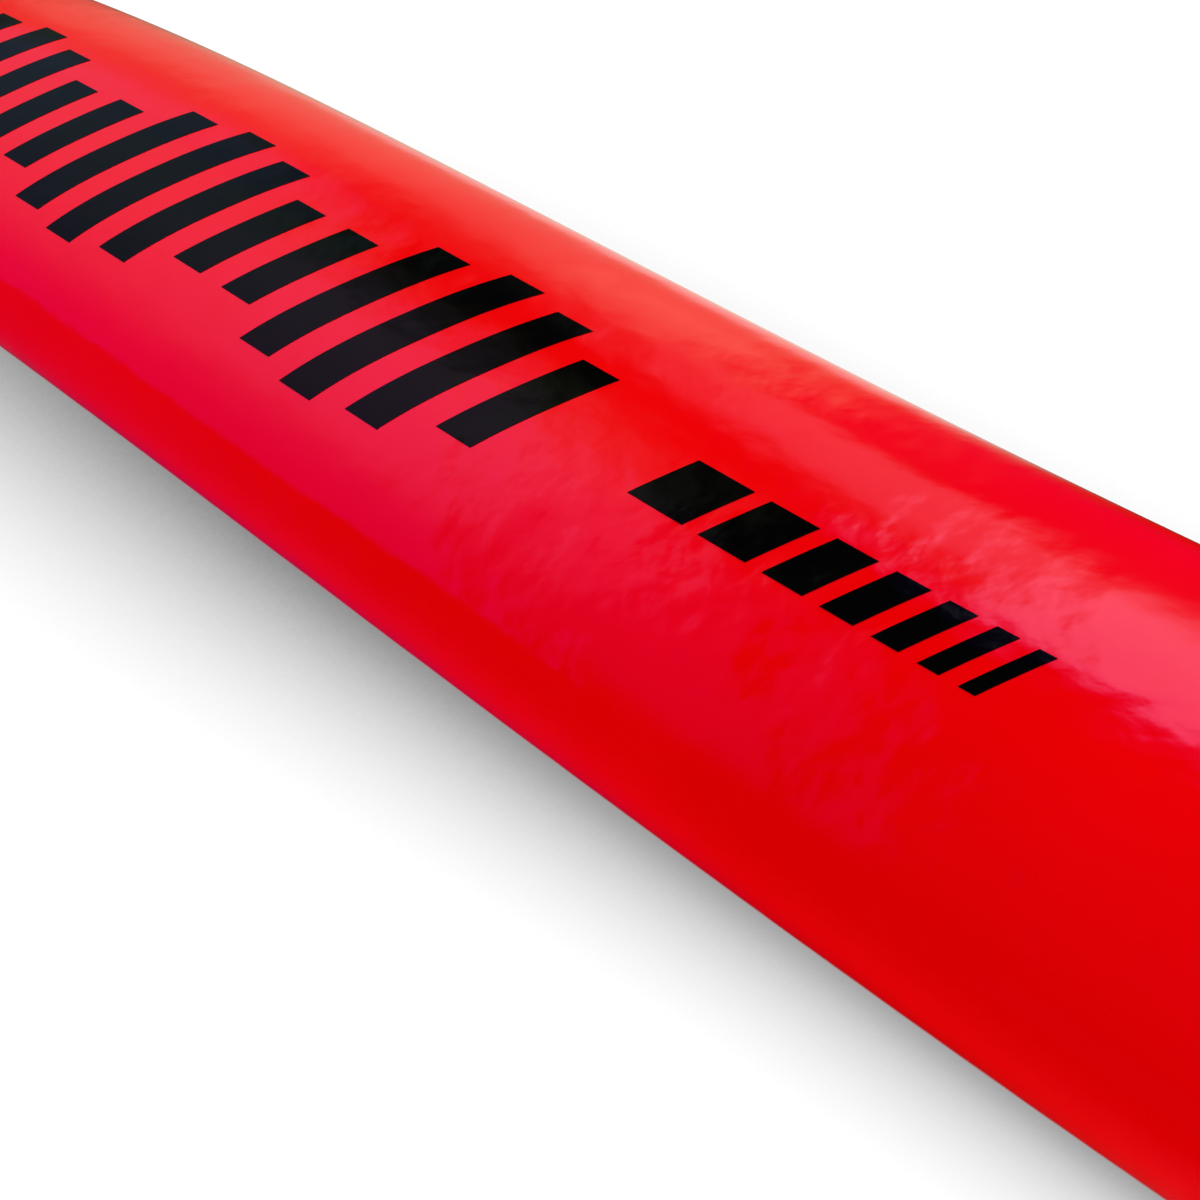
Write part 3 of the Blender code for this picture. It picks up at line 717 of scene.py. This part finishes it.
# Cap: the lip's outline rounded over a quarter circle to a flat end face with one shallow groove, and the
# spigot behind it. Rings of the end face shrink towards the middle of the outline.
def makeButtCap():
    base = handleOutline(0)
    out = handleOutline(1) - base
    lip = base + stick["lipProud"] * out
    spigot = base - (stick["wall"] + layers["gap"]) * out
    endFace = buttPlace - stick["capLip"]
    innerFace = buttPlace - layers["gap"]
    share = np.linspace(cap["innerRing"], 1, cap["faceRings"])
    rim = lip - cap["lipRound"] * out
    middle = rim.mean(axis=0)
    groove = np.exp(-((share - cap["grooveAt"]) / cap["grooveWidth"]) ** 2) * cap["grooveDepth"]
    faceRings = middle + (rim - middle)[None] * share[:, None, None]
    faceS = endFace + groove
    angle = np.linspace(0, math.pi / 2, cap["roundSteps"] + 1)[1:]
    lipRings = lip[None] - cap["lipRound"] * (1 - np.sin(angle))[:, None, None] * out[None]
    lipS = endFace + cap["lipRound"] * (1 - np.cos(angle))
    backShare = np.array([0.0, 0.0, 1.0, 1.0])
    backRings = lip[None] + (spigot - lip)[None] * backShare[:, None, None]
    lipSide = endFace + cap["lipRound"] + cap["lipSide"]
    backS = np.array([lipSide, innerFace, innerFace, buttPlace + cap["spigot"]])
    rings = np.concatenate([faceRings, lipRings, backRings])
    s = np.concatenate([faceS, lipS, backS])
    count = len(base)
    points = placedOutline(s, rings).reshape(-1, 3)
    endMiddle = placed(np.array([endFace]), middle[None, 0], middle[None, 1])
    spigotMiddle = placed(s[-1:], middle[None, 0], middle[None, 1])
    points = np.concatenate([points, endMiddle, spigotMiddle])
    quads = gridQuads(len(s), count, closed=True)
    tips = len(s) * count
    triangles = np.concatenate([fanTriangles(0, tips, count)[:, ::-1],
                                fanTriangles(tips - count, tips + 1, count)])
    return meshPiece("buttCap", points, [quads, triangles], materials["capRubber"], cap["sharpAngle"])


buttCap = makeButtCap()
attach(buttCap, "root")
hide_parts("butt_cap")
print("grip, tape and cap made")

# Inner pieces keep their own meshes
innerFinish = {
    "head_foam_core": "rigidFoam",
    "toe_side_tube_stop": "rigidFoam",
    "heel_side_tube_stop": "rigidFoam",
    "toe_side_butt_plug": "rigidFoam",
    "heel_side_butt_plug": "rigidFoam",
    "toe_side_core_tube": "carbonTwill",
    "heel_side_core_tube": "carbonTwill",
    "web_strip": "carbonTwill",
}
for node, finishName in innerFinish.items():
    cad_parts[node].material_slots[0].material = materials[finishName]
print("inner pieces finished")

# The photograph's camera: where it looks, in millimetres from the start of the bend along and across the
# shaft, and how far back it stands.
photoView = {"lookAt": (-82.258, -9.271, 15.0), "distance": 270.07, "azimuth": 70.852, "elevation": 33.690,
             "roll": -28.309, "lens": 90.0, "sensor": 36.0, "clipStart": 0.01}


def makeCamera():
    azimuth = math.radians(photoView["azimuth"])
    elevation = math.radians(photoView["elevation"])
    roll = math.radians(photoView["roll"])
    back = np.array([math.sin(azimuth) * math.cos(elevation), -math.cos(azimuth) * math.cos(elevation),
                     math.sin(elevation)])
    level = np.array([math.cos(azimuth), math.sin(azimuth), 0.0])
    upright = np.cross(back, level)
    right = math.cos(roll) * level + math.sin(roll) * upright
    up = math.cos(roll) * upright - math.sin(roll) * level
    place = (np.array(photoView["lookAt"]) + toFrame + back * photoView["distance"]) * mm
    data = bpy.data.cameras.new("photoCamera")
    data.lens = photoView["lens"]
    data.sensor_width = photoView["sensor"]
    data.clip_start = photoView["clipStart"]
    camera = bpy.data.objects.new("photoCamera", data)
    bpy.context.scene.collection.objects.link(camera)
    turned = Matrix([[right[k], up[k], back[k], place[k]] for k in range(3)] + [[0, 0, 0, 1]])
    camera.matrix_world = turned
    bpy.context.scene.camera = camera


makeCamera()

# Studio: a white floor that darkens only where the stick keeps the light off, a white sky that is brighter on
# one side, and a tent of soft panels that only the gloss shows. The floor's darkest shade grows lighter along
# the shaft, from the first value of "floorShadow" to the second over "shadowSpan", in millimetres from the
# start of the bend.
studio = {"floorHalf": 20.0, "floorGlow": 1.18, "floorShadow": (0.18, 0.35), "shadowSpan": (-150, -45),
          "shadowReach": 0.07, "shadowLean": (0.0, -0.05, 1.0), "shadowFrom": 0.36, "shadowCurve": 1.4,
          "shadowSamples": 24, "floorBounce": 1.6,
          "skyLow": 0.41, "skyHigh": 2.16, "skySeen": 1.0, "skyFrom": (-0.38, 0.82, 0.42), "skyStart": 0.3,
          "tentRadius": 2.6, "tentStep": 0.75,
          "lampPlace": (-220, -100, 260), "lampAim": (-170, 0, 20), "lampSize": 0.2, "lampPower": 0.2}


# The floor glows by itself. The share of the sky that the stick hides, taken about a slightly leaned normal,
# is raised to a power and takes the glow from its full strength down to the darkest shade.
def makeFloor():
    half = studio["floorHalf"]
    mesh = bpy.data.meshes.new("paleFloor")
    corners = [(-half, -half, 0), (half, -half, 0), (half, half, 0), (-half, half, 0)]
    mesh.from_pydata(corners, [], [(0, 1, 2, 3)])
    floor = bpy.data.objects.new("paleFloor", mesh)
    bpy.context.scene.collection.objects.link(floor)
    material = bpy.data.materials.new("paleFloor")
    material.use_nodes = True
    tree = material.node_tree
    tree.nodes.clear()
    lean = addVectorMath(tree, "NORMALIZE", studio["shadowLean"])[0]
    shade = addNode(tree, "ShaderNodeAmbientOcclusion", {"samples": studio["shadowSamples"]},
                    Distance=studio["shadowReach"], Normal=lean)
    hidden = addNode(tree, "ShaderNodeMapRange", Value=shade.outputs["AO"], From_Min=studio["shadowFrom"],
                     From_Max=1.0, To_Min=1.0, To_Max=0.0)
    dark = addMath(tree, "POWER", hidden.outputs["Result"], studio["shadowCurve"])
    place = addNode(tree, "ShaderNodeTexCoord").outputs["Object"]
    along = addNode(tree, "ShaderNodeSeparateXYZ", Vector=place).outputs["X"]
    left, right = ((toFrame[0] + end) * mm for end in studio["shadowSpan"])
    darkest = addNode(tree, "ShaderNodeMapRange", Value=along, From_Min=left, From_Max=right,
                      To_Min=studio["floorShadow"][0], To_Max=studio["floorShadow"][1])
    lit = addNode(tree, "ShaderNodeMapRange", Value=dark, From_Min=0.0, From_Max=1.0,
                  To_Min=studio["floorGlow"], To_Max=darkest.outputs["Result"])
    seen = addNode(tree, "ShaderNodeLightPath").outputs["Is Camera Ray"]
    strength = addNode(tree, "ShaderNodeMapRange", Value=seen, From_Min=0.0, From_Max=1.0,
                       To_Min=studio["floorBounce"], To_Max=lit.outputs["Result"])
    glow = addNode(tree, "ShaderNodeEmission", Strength=strength.outputs["Result"])
    output = addNode(tree, "ShaderNodeOutputMaterial")
    tree.links.new(glow.outputs[0], output.inputs["Surface"])
    mesh.materials.append(material)
    floor.visible_glossy = False


# The sky's light grows from its low value to its high one with the cosine of the angle to its bright side.
# The camera sees an even white.
def makeSky():
    world = bpy.data.worlds.new("studioSky")
    bpy.context.scene.world = world
    world.use_nodes = True
    tree = world.node_tree
    tree.nodes.clear()
    direction = addNode(tree, "ShaderNodeTexCoord").outputs["Generated"]
    facing = addVectorMath(tree, "DOT_PRODUCT", direction, Vector(studio["skyFrom"]).normalized())["Value"]
    bright = addNode(tree, "ShaderNodeMapRange", Value=facing,
                     From_Min=studio["skyStart"], From_Max=1.0,
                     To_Min=studio["skyLow"], To_Max=studio["skyHigh"])
    seen = addNode(tree, "ShaderNodeLightPath").outputs["Is Camera Ray"]
    strength = addNode(tree, "ShaderNodeMapRange", Value=seen, From_Min=0.0, From_Max=1.0,
                       To_Min=bright.outputs["Result"], To_Max=studio["skySeen"])
    glow = addNode(tree, "ShaderNodeBackground", Color=(1, 1, 1, 1), Strength=strength.outputs["Result"])
    output = addNode(tree, "ShaderNodeOutputWorld")
    tree.links.new(glow.outputs[0], output.inputs["Surface"])


# Soft panels of the tent, in degrees. "along" is the angle from the butt's direction, so 90 is square to the
# shaft, and "around" turns about the shaft, from 0 on the toe's side over 90 straight up. "blur" is the width
# of the first and last edge along and of the first and last edge around.
panels = {
    "long": {"along": (26.5, 40.5), "around": (48, 133.5), "blur": (2.0, 1.6, 5.0, 2.0), "glow": 0.40,
             "colour": (0.4, 0.05, 1.1)},
    "longNear": {"along": (40.5, 46.4), "around": (64, 133.5), "blur": (1.6, 0.8, 4.0, 2.0), "glow": 0.40,
                 "colour": (0.6, 0.05, 1.1)},
    "longWarm": {"along": (26.5, 41.5), "around": (50, 96), "blur": (2.0, 1.2, 5.0, 24.0), "glow": 0.3,
                 "colour": (0.15, 1.0, 0.1)},
    "longWarmNear": {"along": (41.5, 46.6), "around": (66, 96), "blur": (1.2, 0.8, 3.5, 24.0), "glow": 0.3,
                     "colour": (0.5, 1.0, 0.2)},
    "longCore": {"along": (34, 47), "around": (60, 104), "blur": (8.0, 0.6, 3.0, 7.0), "glow": 0.16,
                 "colour": (0.9, 1.0, 0.2)},
    "longMiddle": {"along": (40, 49), "around": (67.5, 98), "blur": (4.0, 0.5, 1.5, 5.0), "glow": 0.36,
                   "colour": (0.7, 0.45, 0.75)},
    "longEnd": {"along": (44, 51.2), "around": (72, 122), "blur": (6.0, 0.5, 4.0, 8.0), "glow": 0.26,
                "colour": (0.5, 0.12, 1.0)},
    "longTop": {"along": (45.8, 49.2), "around": (62, 84), "blur": (0.6, 0.5, 3.0, 7.0), "glow": 0.3,
                "colour": (0.8, 1.0, 0.6)},
    "side": {"along": (51.8, 64), "around": (36, 58.7), "blur": (0.7, 4.0, 5.5, 1.2), "glow": 2.15,
             "colour": (1.0, 1.1, 0.9)},
    "sideDim": {"along": (46.8, 51.6), "around": (34.5, 50.5), "blur": (1.8, 0.7, 2.4, 3.0), "glow": 0.62,
                "colour": (1.0, 1.1, 0.95)},
    "sideFringe": {"along": (51.5, 60), "around": (57.6, 61), "blur": (0.6, 3.0, 1.0, 1.2), "glow": 0.36,
                   "colour": (0.1, 0.0, 1.0)},
    "sideFringeNear": {"along": (50.3, 51.5), "around": (55, 60), "blur": (0.7, 0.6, 1.5, 1.2), "glow": 0.26,
                       "colour": (0.1, 0.0, 1.0)},
    "farBackdrop": {"along": (25.5, 45.6), "around": (-61, 14), "blur": (2.6, 1.9, 1.5, 6.0), "glow": 0.33,
                    "colour": (1.0, 1.5, 1.0)},
    "farBackdropTop": {"along": (25.5, 46.8), "around": (14, 37), "blur": (2.6, 1.4, 6.0, 9.0), "glow": 0.33,
                       "colour": (1.0, 1.5, 1.0)},
    "farTopEdge": {"along": (25, 38.5), "around": (40, 52), "blur": (3.0, 1.2, 6.0, 5.0), "glow": 0.16,
                   "colour": (0.8, 1.2, 0.9)},
    "farBright": {"along": (43, 46.2), "around": (14, 37), "blur": (1.5, 1.6, 8.0, 3.5), "glow": 0.5,
                  "colour": (0.5, 1.0, 0.5)},
    "farEnd": {"along": (46.8, 57), "around": (-14, 33), "blur": (1.2, 3.0, 8.0, 3.0), "glow": 0.1,
               "colour": (0.4, 0.03, 1.0)},
    "farFloor": {"along": (31.5, 45.5), "around": (-61, -8), "blur": (3.0, 1.8, 1.5, 5.0), "glow": 0.38,
                 "colour": (1.0, 0.95, 1.05)},
    "nearRim": {"along": (18, 60), "around": (279, 299), "blur": (4.0, 4.0, 4.0, 1.5), "glow": 0.32,
                "colour": (1.0, 0.85, 0.9)},
    "nearFloor": {"along": (20, 40), "around": (135, 273), "blur": (5.0, 6.0, 2.0, 2.0), "glow": 0.1,
                  "colour": (0.8, 0.05, 0.85)},
    "overhead": {"along": (64, 150), "around": (66, 114), "blur": (5.0, 8.0, 6.0, 6.0), "glow": 1.1,
                 "colour": (1.0, 1.0, 1.0)},
    "nearStrip": {"along": (66, 124), "around": (142, 164), "blur": (6.0, 6.0, 4.0, 4.0), "glow": 0.9,
                  "colour": (1.0, 1.0, 1.0)},
    "farStrip": {"along": (66, 124), "around": (16, 38), "blur": (6.0, 6.0, 4.0, 4.0), "glow": 0.9,
                 "colour": (1.0, 1.0, 1.0)},
    "floorAround": {"along": (62, 180), "around": (192, 348), "blur": (6.0, 6.0, 6.0, 6.0), "glow": 0.5,
                    "colour": (1.0, 1.0, 1.0)},
    "pastButt": {"along": (-30, 21), "around": (-90, 270), "blur": (3.0, 2.5, 2.0, 2.0), "glow": 0.45,
                 "colour": (1.0, 1.2, 1.0)},
    "pastHead": {"along": (160, 210), "around": (0, 180), "blur": (6.0, 3.0, 12.0, 12.0), "glow": 0.45,
                 "colour": (1.0, 1.2, 1.0)},
}


# A step from 0 to 1 where the distance passes an edge: a logistic curve that goes from a quarter to three
# quarters over the width of the blur.
def softStep(distance, blur):
    steepness = 2.2
    furthest = 40.0         # the step is as good as 0 or 1 out there, and the exponential stays in range
    return 1 / (1 + np.exp(-np.clip(steepness * distance / blur, -furthest, furthest)))


# Glow of one panel over the tent: the product of four soft steps at its edges, counted for each turn around.
def panelGlow(along, around, panel):
    blur = panel["blur"]
    inAlong = softStep(along - panel["along"][0], blur[0]) * softStep(panel["along"][1] - along, blur[1])
    low, high = panel["around"]
    inAround = sum(softStep(turned - low, blur[2]) * softStep(high - turned, blur[3])
                   for turned in (around - 360, around))
    return (inAlong * inAround * panel["glow"])[..., None] * np.array(panel["colour"])


# The tent is a sphere around the point that the camera looks at, and the panels' glow is kept at its points.
def makeTent():
    step = studio["tentStep"]
    along, around = np.meshgrid(np.arange(0, 180 + step / 2, step), np.arange(0, 360 + step / 2, step))
    a = np.radians(along)
    r = np.radians(around)
    direction = np.stack([-np.cos(a), np.sin(a) * np.cos(r), np.sin(a) * np.sin(r)], axis=-1)
    centre = np.array(photoView["lookAt"]) + toFrame
    points = centre * mm + direction * studio["tentRadius"]
    glow = sum(panelGlow(along, around, panel) for panel in panels.values())
    mesh = bpy.data.meshes.new("softTent")
    mesh.from_pydata(points.reshape(-1, 3).tolist(), [], gridQuads(*along.shape).tolist())
    colours = mesh.color_attributes.new("glow", "FLOAT_COLOR", "POINT")
    rgba = np.concatenate([glow, np.ones_like(along)[..., None]], axis=-1)
    colours.data.foreach_set("color", rgba.astype(np.float32).ravel())
    material = bpy.data.materials.new("softTent")
    material.use_nodes = True
    tree = material.node_tree
    tree.nodes.clear()
    colour = addNode(tree, "ShaderNodeAttribute", {"attribute_name": "glow"}).outputs["Color"]
    emission = addNode(tree, "ShaderNodeEmission", Color=colour)
    output = addNode(tree, "ShaderNodeOutputMaterial")
    tree.links.new(emission.outputs[0], output.inputs["Surface"])
    material.cycles.emission_sampling = "NONE"
    mesh.materials.append(material)
    tent = bpy.data.objects.new("softTent", mesh)
    bpy.context.scene.collection.objects.link(tent)
    tent.visible_camera = False
    tent.visible_diffuse = False
    tent.visible_transmission = False
    tent.visible_volume_scatter = False
    tent.visible_shadow = False


# A soft lamp up on the heel's side, over the upper shaft, so the light falls off a little towards the head.
def makeLamp():
    data = bpy.data.lights.new("softLamp", "AREA")
    data.shape = "DISK"
    data.size = studio["lampSize"]
    data.energy = studio["lampPower"]
    lamp = bpy.data.objects.new("softLamp", data)
    bpy.context.scene.collection.objects.link(lamp)
    place = Vector((np.array(studio["lampPlace"]) + toFrame) * mm)
    aim = Vector((np.array(studio["lampAim"]) + toFrame) * mm)
    lamp.location = place
    lamp.rotation_euler = (aim - place).to_track_quat("-Z", "Y").to_euler()
    lamp.visible_glossy = False


makeFloor()
makeSky()
makeTent()
makeLamp()
bpy.context.scene.view_settings.view_transform = "Standard"
print("studio made")
